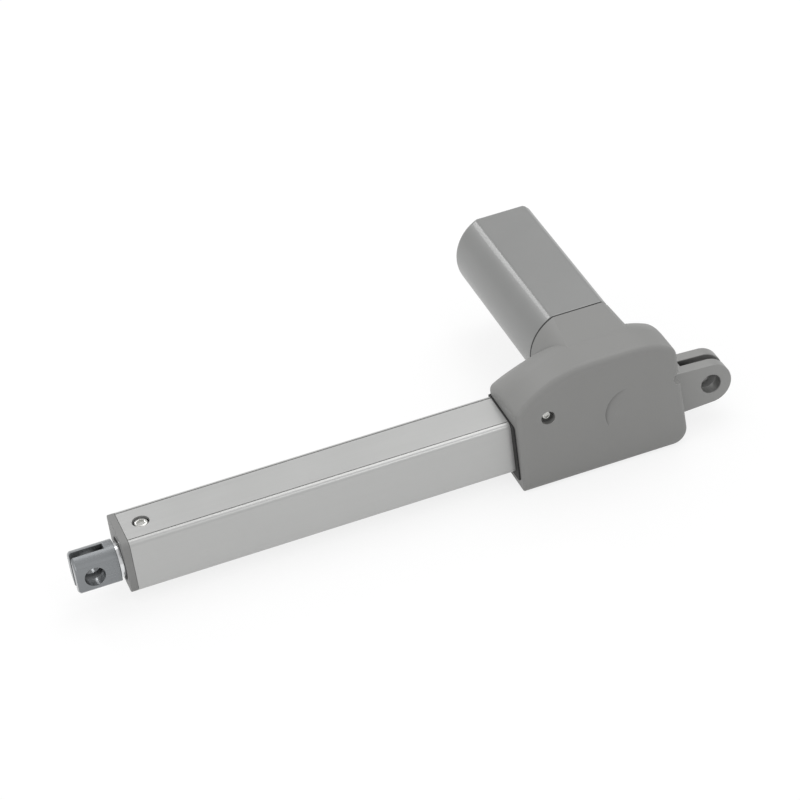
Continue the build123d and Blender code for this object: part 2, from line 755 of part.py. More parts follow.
with BuildPart() as motor_can:
    cylinder_y(can_radius, can_end_y, can_front_y)
    cylinder_y(can_radius - can_wall, can_end_y, can_front_y - can_front_thickness, Mode.SUBTRACT)
    cylinder_y(boss_radius, can_front_y, can_front_y + boss_length)
    cylinder_y(
        bush_radius + seat_gap, can_front_y - can_front_thickness, can_front_y + boss_length, Mode.SUBTRACT
    )
    for place in bolt_places:
        cylinder_y(bolt_radius + seat_gap, far_bush_y, can_front_y, Mode.SUBTRACT, place)
finish(motor_can.part, "motor_can")

with BuildPart() as motor_magnets:
    for side in (90, -90):
        magnet_y = armature_y + armature_gap
        plane = Plane(origin=(gear_x, magnet_y, motor_z), x_dir=(1, 0, 0), z_dir=(0, -1, 0))
        with BuildSketch(plane) as arc:
            with BuildLine():
                outer_radius = can_radius - can_wall - seat_gap
                first = side - magnet_angle / 2
                CenterArc((0, 0), outer_radius, first, magnet_angle)
                CenterArc((0, 0), magnet_radius, first, magnet_angle)
                for angle in (first, first + magnet_angle):
                    Line(
                        (outer_radius * cos(radians(angle)), outer_radius * sin(radians(angle))),
                        (magnet_radius * cos(radians(angle)), magnet_radius * sin(radians(angle))),
                    )
            make_face()
        extrude(arc.sketch, amount=magnet_length)
finish(motor_magnets.part, "motor_magnets")

with BuildPart() as armature:
    cylinder_y(armature_radius, armature_y - armature_length, armature_y)
    cylinder_y(motor_shaft_radius + seat_gap, armature_y - armature_length, armature_y, Mode.SUBTRACT)
finish(armature.part, "armature")

with BuildPart() as commutator:
    cylinder_y(commutator_radius, commutator_y - commutator_length, commutator_y)
    cylinder_y(motor_shaft_radius + seat_gap, commutator_y - commutator_length, commutator_y, Mode.SUBTRACT)
finish(commutator.part, "commutator")

with BuildPart() as brush_cap:
    cylinder_y(can_radius, brush_cap_y, can_end_y)
    cylinder_y(can_radius - can_wall - seat_gap, can_end_y, can_end_y + cap_spigot)
    cylinder_y(cap_spigot_bore, can_end_y, can_end_y + cap_spigot, Mode.SUBTRACT)
    cylinder_y(motor_shaft_radius + running_gap, brush_cap_y, can_end_y, Mode.SUBTRACT)
    for place in post_places:
        cylinder_y(post_radius, cover_inner_end_y + seat_gap, brush_cap_y, Mode.ADD, place)
        cylinder_y(screw_radius + seat_gap, cover_inner_end_y, brush_cap_y, Mode.SUBTRACT, place)
    for place in bolt_places:
        cylinder_y(bolt_radius + seat_gap, brush_cap_y, can_end_y + cap_spigot, Mode.SUBTRACT, place)
finish(brush_cap.part, "brush_cap")

with BuildPart() as motor_bolts:
    for place in bolt_places:
        head_y = brush_cap_y - bolt_head_height
        head_plane = Plane(origin=(place[0], head_y, place[1]), x_dir=(1, 0, 0), z_dir=(0, -1, 0))
        screw(head_plane, screw_head_radius, bolt_head_height, bolt_radius, bolt_end_y - brush_cap_y)
finish(motor_bolts.part, "motor_bolts")

with BuildPart() as outer_tube:
    square_bar(tube_start_x, tube_end_x, tube_side, tube_corner)
    square_bar(tube_start_x, tube_end_x, tube_inside, tube_corner - tube_wall, Mode.SUBTRACT)
    guide_screw_place = (guide_screw_x, tube_y)
    cylinder_z(guide_screw_recess_radius, tube_roof_z, tube_top_z, guide_screw_place, Mode.SUBTRACT)
    groove_middle = tube_side / 2 - tube_corner - tube_groove_width / 2
    for middle in (tube_y - groove_middle, tube_y + groove_middle):
        groove_y = (middle - tube_groove_width / 2, middle + tube_groove_width / 2)
        groove_z = (tube_top_z - tube_groove_depth, tube_top_z)
        block((tube_start_x, tube_end_x), groove_y, groove_z, Mode.SUBTRACT)
finish(outer_tube.part, "outer_tube")

with BuildPart() as front_cap:
    square_bar(cap_rear_x, tube_end_x, tube_inside - 2 * seat_gap, tube_corner - tube_wall)
    square_bar(tube_end_x, cap_front_x, tube_side, tube_corner)
    cylinder_x(rod_radius + slide_gap, cap_rear_x, cap_front_x, Mode.SUBTRACT)
    cylinder_x(wiper_radius + seat_gap, cap_front_x - wiper_width, cap_front_x, Mode.SUBTRACT)
finish(front_cap.part, "front_cap")

with BuildPart() as rod_wiper:
    cylinder_x(wiper_radius, cap_front_x - wiper_width, cap_front_x)
    cylinder_x(rod_radius + running_gap, cap_front_x - wiper_width, cap_front_x, Mode.SUBTRACT)
finish(rod_wiper.part, "rod_wiper")

with BuildPart() as rod_guide:
    square_bar(guide_x, cap_rear_x, tube_inside - 2 * seat_gap, tube_corner - tube_wall)
    cylinder_x(rod_radius + running_gap, guide_x, cap_rear_x, Mode.SUBTRACT)
    cylinder_z(screw_radius + seat_gap, rod_radius, tube_roof_z, guide_screw_place, Mode.SUBTRACT)
finish(rod_guide.part, "rod_guide")

with BuildPart() as guide_screw:
    head_top_z = tube_top_z - guide_screw_depth
    head_plane = Plane(origin=(guide_screw_x, tube_y, head_top_z), x_dir=(1, 0, 0), z_dir=(0, 0, 1))
    shank_length = tube_roof_z - rod_radius - hub_side_gap
    screw(head_plane, guide_screw_head_radius, tube_wall - guide_screw_depth, screw_radius, shank_length)
finish(guide_screw.part, "guide_screw")

with BuildPart() as switch_board:
    board_z = (tube_roof_z - seat_gap - board_thickness, tube_roof_z - seat_gap)
    block(board_x, board_y, board_z)
finish(switch_board.part, "switch_board")

with BuildPart() as limit_switches:
    for start in switch_x:
        switch_y = (tube_y - switch_size[1] / 2, tube_y + switch_size[1] / 2)
        block((start, start + switch_size[0]), switch_y, (board_z[0] - switch_size[2], board_z[0]))
finish(limit_switches.part, "limit_switches")

with BuildPart() as spindle_nut:
    block((nut_x, nut_front_x), nut_y, nut_z)
    chamfer(spindle_nut.edges().filter_by(Axis.X), nut_edge)
    cylinder_x(spindle_radius + running_gap, nut_x, nut_front_x, Mode.SUBTRACT)
    cylinder_x(rod_seat_radius + seat_gap, nut_front_x - rod_seat_length, nut_front_x, Mode.SUBTRACT)
finish(spindle_nut.part, "spindle_nut")

with BuildPart() as inner_rod:
    cylinder_x(rod_seat_radius, nut_front_x - rod_seat_length, nut_front_x)
    cylinder_x(rod_radius, nut_front_x, rod_end_x)
    cylinder_x(rod_bore, nut_front_x - rod_seat_length, rod_end_x, Mode.SUBTRACT)
    rod_pin_place = (rod_end_x - rod_spigot_length / 2, 0.0)
    cylinder_y(pin_radius + seat_gap, -rod_radius, rod_radius, Mode.SUBTRACT, rod_pin_place)
finish(inner_rod.part, "inner_rod")

with BuildPart() as rod_eye:
    rod_tip_x = rod_bore_x + rod_eye_past_bore
    cylinder_x(rod_eye_radius, rod_end_x, rod_tip_x)
    chamfer(rod_eye.faces().sort_by(Axis.X)[-1].edges(), rod_eye_edge)
    for flat in ((-rod_eye_radius, -rod_eye_flat), (rod_eye_flat, rod_eye_radius)):
        block((rod_end_x, rod_tip_x), flat, (-rod_eye_radius, rod_eye_radius), Mode.SUBTRACT)
    slot_z = (-rod_eye_radius, rod_eye_radius)
    block((rod_bore_x - rod_eye_slot_root, rod_tip_x), (-slot_y, slot_y), slot_z, Mode.SUBTRACT)
    cylinder_y(eye_bore_radius, -rod_eye_radius, rod_eye_radius, Mode.SUBTRACT, (rod_bore_x, 0.0))
    cylinder_x(rod_bore - seat_gap, rod_end_x - rod_spigot_length, rod_end_x)
    cylinder_y(pin_radius + seat_gap, -rod_radius, rod_radius, Mode.SUBTRACT, rod_pin_place)
finish(rod_eye.part, "rod_eye")

with BuildPart() as rod_pin:
    pin_end_y = rod_radius - pin_end_gap
    cylinder_y(pin_radius, -pin_end_y, pin_end_y, Mode.ADD, rod_pin_place)
finish(rod_pin.part, "rod_pin")
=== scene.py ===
"""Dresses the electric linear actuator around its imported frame.

The frame's nodes get procedural finishes, some of them are stood for by finer pieces (screws, rounded
castings, the threaded spindle), and a studio with a floor, lamps and a camera shows the part.
"""

from __future__ import annotations

import json
import logging
from dataclasses import dataclass, field
from enum import Enum
from math import radians

import bpy
from mathutils import Euler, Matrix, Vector


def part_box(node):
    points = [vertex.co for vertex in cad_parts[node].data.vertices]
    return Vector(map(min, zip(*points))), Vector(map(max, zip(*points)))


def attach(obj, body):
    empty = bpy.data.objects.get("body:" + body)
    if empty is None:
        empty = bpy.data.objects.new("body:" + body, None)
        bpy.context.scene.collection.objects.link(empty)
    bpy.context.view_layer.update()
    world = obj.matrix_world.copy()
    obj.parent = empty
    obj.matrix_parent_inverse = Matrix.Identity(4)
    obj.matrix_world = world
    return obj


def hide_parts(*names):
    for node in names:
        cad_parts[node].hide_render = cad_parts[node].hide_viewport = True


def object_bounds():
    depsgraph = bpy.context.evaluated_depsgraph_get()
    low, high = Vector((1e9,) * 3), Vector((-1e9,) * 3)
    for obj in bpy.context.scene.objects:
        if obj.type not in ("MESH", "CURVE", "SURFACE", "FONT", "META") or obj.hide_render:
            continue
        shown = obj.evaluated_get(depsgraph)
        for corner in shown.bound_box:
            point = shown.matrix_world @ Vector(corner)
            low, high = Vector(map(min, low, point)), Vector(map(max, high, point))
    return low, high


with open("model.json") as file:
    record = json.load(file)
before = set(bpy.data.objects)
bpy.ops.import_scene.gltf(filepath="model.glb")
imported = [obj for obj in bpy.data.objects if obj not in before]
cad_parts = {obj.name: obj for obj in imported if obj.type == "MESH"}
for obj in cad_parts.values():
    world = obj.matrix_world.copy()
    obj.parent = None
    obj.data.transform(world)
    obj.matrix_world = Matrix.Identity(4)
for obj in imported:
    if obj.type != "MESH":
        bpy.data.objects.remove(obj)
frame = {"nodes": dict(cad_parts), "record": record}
CAD_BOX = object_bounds()

LOG = logging.getLogger("actuator")
# Every length is in metres, every angle in degrees.
MM = 0.001
MERGE_DISTANCE = 0.002 * MM
FLAT_ANGLE = 0.2
FLAT_FACE_WEIGHT = 90
FACES_ROUND = 64
FACES_A_TURN = 32
HALF = 0.5
WHITE = (1.0, 1.0, 1.0, 1.0)

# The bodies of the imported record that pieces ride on.
HOUSING_SET = "housing_set"
SPINDLE_SET = "spindle_set"
ROD_SET = "rod_set"

Triple = tuple[float, float, float]
Value = bpy.types.NodeSocket | float
Paint = bpy.types.NodeSocket | Triple


class Axis(Enum):
    """An axis of the frame: the way that a piece faces, or that a metal was drawn along."""

    X = (1.0, 0.0, 0.0)
    Y = (0.0, 1.0, 0.0)
    Z = (0.0, 0.0, 1.0)

    @property
    def turn(self) -> Euler:
        """The turn that lays a piece along this axis.

        Returns:
            The turn, for a piece made along Z.
        """
        turns = {Axis.X: (0.0, 90.0, 0.0), Axis.Y: (-90.0, 0.0, 0.0), Axis.Z: (0.0, 0.0, 0.0)}
        return Euler([radians(angle) for angle in turns[self]])


class Slot(Enum):
    """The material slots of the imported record."""

    HOUSING = "housing_grey"
    COVER = "cover_silver"
    TUBE = "tube_alloy"
    CAP = "cap_alloy"
    EYE = "eye_alloy"
    ROD = "rod_chrome"
    ROD_EYE = "rod_eye_steel"
    SCREW = "screw_steel"
    STEEL = "inner_steel"
    BRONZE = "bronze"
    CAN = "can_steel"
    MAGNET = "magnet_dark"
    ACETAL = "nut_plastic"
    RUBBER = "seal_rubber"
    SOCKET = "socket_black"
    BOARD = "board_green"


def deselect() -> None:
    """Leaves nothing selected, so that the next operator acts on its own piece alone."""
    if bpy.context.mode != "OBJECT":
        bpy.ops.object.mode_set(mode="OBJECT")
    bpy.ops.object.select_all(action="DESELECT")


def select_only(piece: bpy.types.Object) -> None:
    """Selects one piece and makes it the active one.

    Args:
        piece: The piece to select.
    """
    deselect()
    piece.select_set(True)
    bpy.context.view_layer.objects.active = piece


def apply_modifier(piece: bpy.types.Object, name: str) -> None:
    """Applies one modifier to a piece.

    Args:
        piece: The piece.
        name: The modifier's name.
    """
    select_only(piece)
    bpy.ops.object.modifier_apply(modifier=name)


def shade(piece: bpy.types.Object, sharp: float) -> None:
    """Shades a piece smooth between its sharp edges, with its large flat faces kept flat.

    Args:
        piece: The piece.
        sharp: The angle past which an edge stays sharp, in degrees.
    """
    select_only(piece)
    bpy.ops.object.shade_smooth_by_angle(angle=radians(sharp))
    weighted = piece.modifiers.new("flat_faces", "WEIGHTED_NORMAL")
    weighted.mode = "FACE_AREA"
    weighted.weight = FLAT_FACE_WEIGHT
    weighted.keep_sharp = True
    apply_modifier(piece, weighted.name)


def round_edges(piece: bpy.types.Object, width: float, sharp: float, segments: int = 3) -> None:
    """Rounds a piece's sharp edges and shades it smooth between the edges that stay sharp.

    Args:
        piece: The piece.
        width: How far the rounding reaches, in metres.
        sharp: The angle past which an edge is rounded, in degrees.
        segments: How many faces make up the rounding.
    """
    bevel = piece.modifiers.new("edges", "BEVEL")
    bevel.width = width
    bevel.segments = segments
    bevel.limit_method = "ANGLE"
    bevel.angle_limit = radians(sharp)
    bevel.use_clamp_overlap = False
    apply_modifier(piece, bevel.name)
    shade(piece, sharp)


def wire(name: str, points: list[tuple[float, float]], closed: bool) -> bpy.types.Object:
    """Draws a line through points of radius and height, in the plane of X and Z.

    Args:
        name: The piece's name.
        points: The line's points.
        closed: Whether the last point is joined to the first.

    Returns:
        A piece of edges alone.
    """
    edges = [(index, index + 1) for index in range(len(points) - 1)]
    if closed:
        edges.append((len(points) - 1, 0))
    mesh = bpy.data.meshes.new(name)
    mesh.from_pydata([(radius, 0.0, height) for radius, height in points], edges, [])
    piece = bpy.data.objects.new(name, mesh)
    bpy.context.collection.objects.link(piece)
    return piece


def lathe(name: str, profile: list[tuple[float, float]]) -> bpy.types.Object:
    """Turns a profile about the Z axis into a closed solid.

    Args:
        name: The piece's name.
        profile: Points of radius and height, from the axis back to it or once round a ring.

    Returns:
        The turned piece.
    """
    piece = wire(name, profile, closed=False)
    screw = piece.modifiers.new("turn", "SCREW")
    screw.axis = "Z"
    screw.steps = FACES_ROUND
    screw.render_steps = FACES_ROUND
    screw.use_merge_vertices = True
    screw.merge_threshold = MERGE_DISTANCE
    apply_modifier(piece, screw.name)
    bpy.ops.object.mode_set(mode="EDIT")
    bpy.ops.mesh.select_all(action="SELECT")
    bpy.ops.mesh.remove_doubles(threshold=MERGE_DISTANCE)
    bpy.ops.mesh.normals_make_consistent(inside=False)
    bpy.ops.object.mode_set(mode="OBJECT")
    return piece


def thread(name: str, section: list[tuple[float, float]], pitch: float, turns: int) -> bpy.types.Object:
    """Winds a closed section about the Z axis into a thread's ridge.

    Args:
        name: The piece's name.
        section: Points of radius and height that go once round the section.
        pitch: How far the ridge climbs in a turn, in metres.
        turns: How many turns it has.

    Returns:
        The ridge, closed at both ends.
    """
    piece = wire(name, section, closed=True)
    screw = piece.modifiers.new("wind", "SCREW")
    screw.axis = "Z"
    screw.screw_offset = pitch
    screw.iterations = turns
    screw.steps = FACES_A_TURN
    screw.render_steps = FACES_A_TURN
    apply_modifier(piece, screw.name)
    bpy.ops.object.mode_set(mode="EDIT")
    bpy.ops.mesh.select_all(action="SELECT")
    bpy.ops.mesh.fill_holes(sides=len(section))
    bpy.ops.mesh.normals_make_consistent(inside=False)
    bpy.ops.object.mode_set(mode="OBJECT")
    return piece


def join(piece: bpy.types.Object, other: bpy.types.Object) -> None:
    """Makes another piece's mesh part of a piece.

    Args:
        piece: The piece that stays.
        other: The piece that is taken in.
    """
    select_only(piece)
    other.select_set(True)
    bpy.ops.object.join()


def cut(piece: bpy.types.Object, tool: bpy.types.Object) -> None:
    """Takes a tool's form out of a piece and removes the tool.

    Args:
        piece: The piece to cut.
        tool: The closed form to take away.
    """
    boolean = piece.modifiers.new("cut", "BOOLEAN")
    boolean.operation = "DIFFERENCE"
    boolean.solver = "EXACT"
    boolean.object = tool
    apply_modifier(piece, boolean.name)
    bpy.data.objects.remove(tool, do_unlink=True)


def place(piece: bpy.types.Object, spot: Vector, way: Axis) -> None:
    """Turns and moves a piece and puts its place into its mesh.

    Args:
        piece: The piece, made at the origin along Z.
        spot: Where its origin goes.
        way: The axis that it is laid along.
    """
    piece.rotation_euler = way.turn
    piece.location = spot
    select_only(piece)
    bpy.ops.object.transform_apply(location=True, rotation=True, scale=True)


def link(tree: bpy.types.NodeTree, source: bpy.types.NodeSocket, target: bpy.types.NodeSocket) -> None:
    """Joins two sockets.

    Args:
        tree: The node tree that holds both sockets.
        source: The output socket.
        target: The input socket.
    """
    tree.links.new(source, target)


def feed(tree: bpy.types.NodeTree, source: Value | Paint, target: bpy.types.NodeSocket) -> None:
    """Gives an input a socket's result, or writes a number or a colour there.

    Args:
        tree: The node tree that holds the sockets.
        source: The output socket, the number or the colour.
        target: The input socket.
    """
    if isinstance(source, bpy.types.NodeSocket):
        link(tree, source, target)
    elif isinstance(source, tuple):
        target.default_value = (*source, 1.0)
    else:
        target.default_value = source


def new_group(name: str, inputs: dict[str, float], outputs: tuple[str, ...]) -> bpy.types.NodeTree:
    """Starts a shader node group with a vector input, number inputs and number outputs.

    Args:
        name: The group's name.
        inputs: The number inputs and their defaults.
        outputs: The outputs' names.

    Returns:
        The group, with its input and output nodes in place.
    """
    group = bpy.data.node_groups.new(name, "ShaderNodeTree")
    group.interface.new_socket("Vector", in_out="INPUT", socket_type="NodeSocketVector")
    for label, value in inputs.items():
        socket = group.interface.new_socket(label, in_out="INPUT", socket_type="NodeSocketFloat")
        socket.default_value = value
    for label in outputs:
        group.interface.new_socket(label, in_out="OUTPUT", socket_type="NodeSocketFloat")
    group.nodes.new("NodeGroupInput").name = "in"
    group.nodes.new("NodeGroupOutput").name = "out"
    return group


def math_node(
    tree: bpy.types.NodeTree, operation: str, first: Value, second: Value
) -> bpy.types.NodeSocket:
    """Adds a Math node.

    Args:
        tree: The tree to add it to.
        operation: The node's operation.
        first: The first value or the socket that gives it.
        second: The second value or the socket that gives it.

    Returns:
        The node's output socket.
    """
    node = tree.nodes.new("ShaderNodeMath")
    node.operation = operation
    feed(tree, first, node.inputs[0])
    feed(tree, second, node.inputs[1])
    return node.outputs[0]


def noise_node(
    tree: bpy.types.NodeTree,
    coordinates: bpy.types.NodeSocket,
    scale: Value,
    detail: float = 2.0,
    roughness: float = 0.5,
) -> bpy.types.NodeSocket:
    """Adds a Noise Texture node.

    Args:
        tree: The tree to add it to.
        coordinates: The socket that gives its coordinates.
        scale: Its scale, in features a metre, or the socket that gives it.
        detail: How many finer layers it has.
        roughness: How strong the finer layers are.

    Returns:
        The socket that gives the noise, from 0 to 1.
    """
    node = tree.nodes.new("ShaderNodeTexNoise")
    link(tree, coordinates, node.inputs["Vector"])
    feed(tree, scale, node.inputs["Scale"])
    feed(tree, detail, node.inputs["Detail"])
    feed(tree, roughness, node.inputs["Roughness"])
    return node.outputs["Fac"]


def colour_mix(
    tree: bpy.types.NodeTree, factor: Value, first: Paint, second: Paint
) -> bpy.types.NodeSocket:
    """Adds a Mix node for colours.

    Args:
        tree: The tree to add it to.
        factor: The second colour's share.
        first: The first colour or the socket that gives it.
        second: The second colour or the socket that gives it.

    Returns:
        The socket that gives the mixed colour.
    """
    node = tree.nodes.new("ShaderNodeMix")
    node.data_type = "RGBA"
    feed(tree, factor, node.inputs["Factor"])
    feed(tree, first, node.inputs["A"])
    feed(tree, second, node.inputs["B"])
    return node.outputs["Result"]


def shader_mix(
    tree: bpy.types.NodeTree,
    share: bpy.types.NodeSocket,
    first: bpy.types.NodeSocket,
    second: bpy.types.NodeSocket,
) -> bpy.types.NodeSocket:
    """Adds a Mix Shader node.

    Args:
        tree: The tree to add it to.
        share: The socket that gives the second shader's share.
        first: The first shader.
        second: The second shader.

    Returns:
        The socket that gives the mixed shader.
    """
    node = tree.nodes.new("ShaderNodeMixShader")
    link(tree, share, node.inputs[0])
    link(tree, first, node.inputs[1])
    link(tree, second, node.inputs[2])
    return node.outputs["Shader"]


def group_node(
    tree: bpy.types.NodeTree,
    group: bpy.types.NodeTree,
    coordinates: bpy.types.NodeSocket,
    numbers: dict[str, float],
) -> bpy.types.NodeOutputs:
    """Adds a node group to a material.

    Args:
        tree: The material's tree.
        group: The group to add.
        coordinates: The socket that gives the group's coordinates.
        numbers: The group's number inputs and their values.

    Returns:
        The group's outputs.
    """
    node = tree.nodes.new("ShaderNodeGroup")
    node.node_tree = group
    link(tree, coordinates, node.inputs["Vector"])
    for label, number in numbers.items():
        feed(tree, number, node.inputs[label])
    return node.outputs


def build_grain_group() -> bpy.types.NodeTree:
    """Builds the fine grain of a moulded, blasted or painted surface.

    Returns:
        A group that gives a height from 0 to 1 and a slow mottle from 0 to 1.
    """
    scales = {"Grain Scale": 1500.0, "Mottle Scale": 40.0}
    group = new_group("surface_grain", scales, ("Height", "Mottle"))
    given, result = group.nodes["in"].outputs, group.nodes["out"].inputs
    fine = noise_node(group, given["Vector"], given["Grain Scale"], detail=3.0, roughness=0.6)
    slow = noise_node(group, given["Vector"], given["Mottle Scale"], detail=4.0)
    link(group, fine, result["Height"])
    link(group, slow, result["Mottle"])
    return group


def build_streak_group() -> bpy.types.NodeTree:
    """Builds the long fine lines of a drawn, ground or turned metal.

    Returns:
        A group that gives a streak from 0 to 1; its vector is already stretched along the lines.
    """
    group = new_group("drawn_streaks", {"Line Scale": 900.0}, ("Streak",))
    given, result = group.nodes["in"].outputs, group.nodes["out"].inputs
    lines = noise_node(group, given["Vector"], given["Line Scale"], roughness=0.7)
    link(group, lines, result["Streak"])
    return group


def build_wear_group() -> bpy.types.NodeTree:
    """Builds a mask of rubbed edges, broken up by noise.

    Returns:
        A group that gives up to 1 on worn edges and 0 elsewhere.
    """
    edge_gain = 6.0
    group = new_group("edge_wear", {"Amount": 0.5, "Width": 0.0006}, ("Mask",))
    given, result = group.nodes["in"].outputs, group.nodes["out"].inputs
    bevel = group.nodes.new("ShaderNodeBevel")
    bevel.samples = 4
    link(group, given["Width"], bevel.inputs["Radius"])
    geometry = group.nodes.new("ShaderNodeNewGeometry")
    dot = group.nodes.new("ShaderNodeVectorMath")
    dot.operation = "DOT_PRODUCT"
    link(group, bevel.outputs["Normal"], dot.inputs[0])
    link(group, geometry.outputs["Normal"], dot.inputs[1])
    bend = math_node(group, "SUBTRACT", 1.0, dot.outputs["Value"])
    sharp = math_node(group, "MULTIPLY", bend, edge_gain)
    noise = noise_node(group, given["Vector"], scale=260.0, detail=5.0)
    broken = math_node(group, "MULTIPLY", sharp, noise)
    scaled = math_node(group, "MULTIPLY", broken, given["Amount"])
    limited = math_node(group, "MINIMUM", scaled, 1.0)
    link(group, limited, result["Mask"])
    return group


def build_painted_shade_group() -> bpy.types.NodeTree:
    """Builds a mask of painted shade that darkens a piece's own slots, bores and recesses, from ambient
    occlusion.

    Returns:
        A group that gives 0 on open faces and up to the amount deep inside a cavity.
    """
    faintest, unevenness, darkest = 0.75, 0.5, 0.95
    group = new_group("cavity_painted_shade", {"Amount": 0.6, "Reach": 0.003}, ("Mask",))
    given, result = group.nodes["in"].outputs, group.nodes["out"].inputs
    # Ambient occlusion here paints shade into the colour of slots, bores, recesses and joints.
    cavity = group.nodes.new("ShaderNodeAmbientOcclusion")
    cavity.samples = 12
    cavity.only_local = True
    link(group, given["Reach"], cavity.inputs["Distance"])
    noise = noise_node(group, given["Vector"], scale=180.0)
    depth = math_node(group, "SUBTRACT", 1.0, cavity.outputs["AO"])
    uneven = math_node(group, "ADD", faintest, math_node(group, "MULTIPLY", noise, unevenness))
    shaded = math_node(group, "MULTIPLY", depth, uneven)
    scaled = math_node(group, "MULTIPLY", shaded, given["Amount"])
    limited = math_node(group, "MINIMUM", scaled, darkest)
    link(group, limited, result["Mask"])
    return group


@dataclass(frozen=True)
class Effects:
    """The shader node groups that more than one finish uses.

    Attributes:
        grain: The fine grain and the slow mottle.
        streaks: The lines of drawn, ground or turned metal.
        wear: The mask of rubbed edges.
        painted_shade: The mask of painted shade in cavities.
    """

    grain: bpy.types.NodeTree
    streaks: bpy.types.NodeTree
    wear: bpy.types.NodeTree
    painted_shade: bpy.types.NodeTree

    @classmethod
    def build(cls) -> Effects:
        """Builds the four groups.

        Returns:
            The effects, ready for use.
        """
        return cls(build_grain_group(), build_streak_group(), build_wear_group(), build_painted_shade_group())


@dataclass(frozen=True)
class Finish:
    """A procedural surface finish.

    Attributes:
        colour: The base colour.
        light: The colour of worn edges and of the lighter mottle.
        roughness: The middle roughness.
        metallic: How metallic it is: 0 for plastic and rubber, in between for paint, 1 for bare metal.
        mottle: How far the slow mottle moves the colour and the roughness.
        grain_scale: The grain's scale, in features a metre.
        grain_height: The grain's height, in metres.
        streak_axis: The direction of drawn lines, if the finish has them.
        streak_scale: The lines' scale across their direction.
        streak_depth: How far the lines move the roughness and the colour.
        wear: How strongly edges are rubbed.
        coat: The strength of a clear coat.
        painted_shade: How dark the painted shade in cavities is; past 1 it is dark in shallower ones too.
        painted_shade_reach: How wide a cavity can be and still get painted shade, in metres.
        streak_stretch: The lines' scale along their direction, as a share of that across it.
        painted_shade_colour: The colour of the painted shade.
    """

    colour: Triple
    light: Triple
    roughness: float
    metallic: float = 0.0
    mottle: float = 0.08
    grain_scale: float = 1600.0
    grain_height: float = 0.02 * MM
    streak_axis: Axis | None = None
    streak_scale: float = 900.0
    streak_depth: float = 0.0
    wear: float = 0.0
    coat: float = 0.0
    # How dark the painted shade in cavities is, and how wide a cavity can be to take it.
    painted_shade: float = 0.0
    painted_shade_reach: float = 3.0 * MM
    streak_stretch: float = 0.012
    # The colour of the painted shade in cavities.
    painted_shade_colour: Triple = (0.012, 0.012, 0.011)

    def build(self, name: str, effects: Effects) -> bpy.types.Material:
        """Builds the material.

        Args:
            name: The material's name.
            effects: The shared node groups.

        Returns:
            The new material.
        """
        material = bpy.data.materials.new(name)
        material.use_nodes = True
        tree = material.node_tree
        coordinates = tree.nodes.new("ShaderNodeTexCoord").outputs["Object"]
        grain = group_node(tree, effects.grain, coordinates, {"Grain Scale": self.grain_scale})
        centred = math_node(tree, "SUBTRACT", grain["Mottle"], HALF)
        shift = math_node(tree, "MULTIPLY", centred, 2.0 * self.mottle)
        blend = math_node(tree, "ADD", shift, HALF * self.mottle)
        rough = math_node(tree, "ADD", self.roughness, shift)
        height = grain["Height"]
        if self.streak_axis is not None:
            streak = self.add_streaks(tree, coordinates, effects)
            spread = math_node(tree, "SUBTRACT", streak, HALF)
            deep = math_node(tree, "MULTIPLY", spread, self.streak_depth)
            rough = math_node(tree, "ADD", rough, deep)
            blend = math_node(tree, "ADD", blend, deep)
            height = math_node(tree, "ADD", height, streak)
        if self.wear > 0.0:
            worn = group_node(tree, effects.wear, coordinates, {"Amount": self.wear})
            blend = math_node(tree, "ADD", blend, worn["Mask"])
        colour = colour_mix(tree, blend, self.colour, self.light)
        # Painted shade: the colour is darkened towards the shade colour in cavities, by ambient
        # occlusion.
        if self.painted_shade > 0.0:
            numbers = {"Amount": self.painted_shade, "Reach": self.painted_shade_reach}
            shaded = group_node(tree, effects.painted_shade, coordinates, numbers)
            colour = colour_mix(tree, shaded["Mask"], colour, self.painted_shade_colour)
        self.set_shader(tree, colour, rough, height)
        return material

    def add_streaks(
        self, tree: bpy.types.NodeTree, coordinates: bpy.types.NodeSocket, effects: Effects
    ) -> bpy.types.NodeSocket:
        """Adds the drawn lines, stretched along the finish's axis.

        Args:
            tree: The material's tree.
            coordinates: The socket that gives object coordinates.
            effects: The shared node groups.

        Returns:
            The socket that gives the streaks.
        """
        mapping = tree.nodes.new("ShaderNodeMapping")
        mapping.inputs["Scale"].default_value = [
            self.streak_stretch if along else 1.0 for along in self.streak_axis.value
        ]
        link(tree, coordinates, mapping.inputs["Vector"])
        numbers = {"Line Scale": self.streak_scale}
        return group_node(tree, effects.streaks, mapping.outputs["Vector"], numbers)["Streak"]

    def set_shader(
        self,
        tree: bpy.types.NodeTree,
        colour: bpy.types.NodeSocket,
        rough: bpy.types.NodeSocket,
        height: bpy.types.NodeSocket,
    ) -> None:
        """Sets the material's shader and gives it its colour, roughness and bump.

        Args:
            tree: The material's tree.
            colour: The socket that gives the colour.
            rough: The socket that gives the roughness.
            height: The socket that gives the height of the grain and the lines.
        """
        bump = tree.nodes.new("ShaderNodeBump")
        bump.inputs["Strength"].default_value = 1.0
        bump.inputs["Distance"].default_value = self.grain_height
        link(tree, height, bump.inputs["Height"])
        shader = tree.nodes["Principled BSDF"]
        shader.inputs["Metallic"].default_value = self.metallic
        shader.inputs["Coat Weight"].default_value = self.coat
        link(tree, colour, shader.inputs["Base Color"])
        link(tree, rough, shader.inputs["Roughness"])
        link(tree, bump.outputs["Normal"], shader.inputs["Normal"])
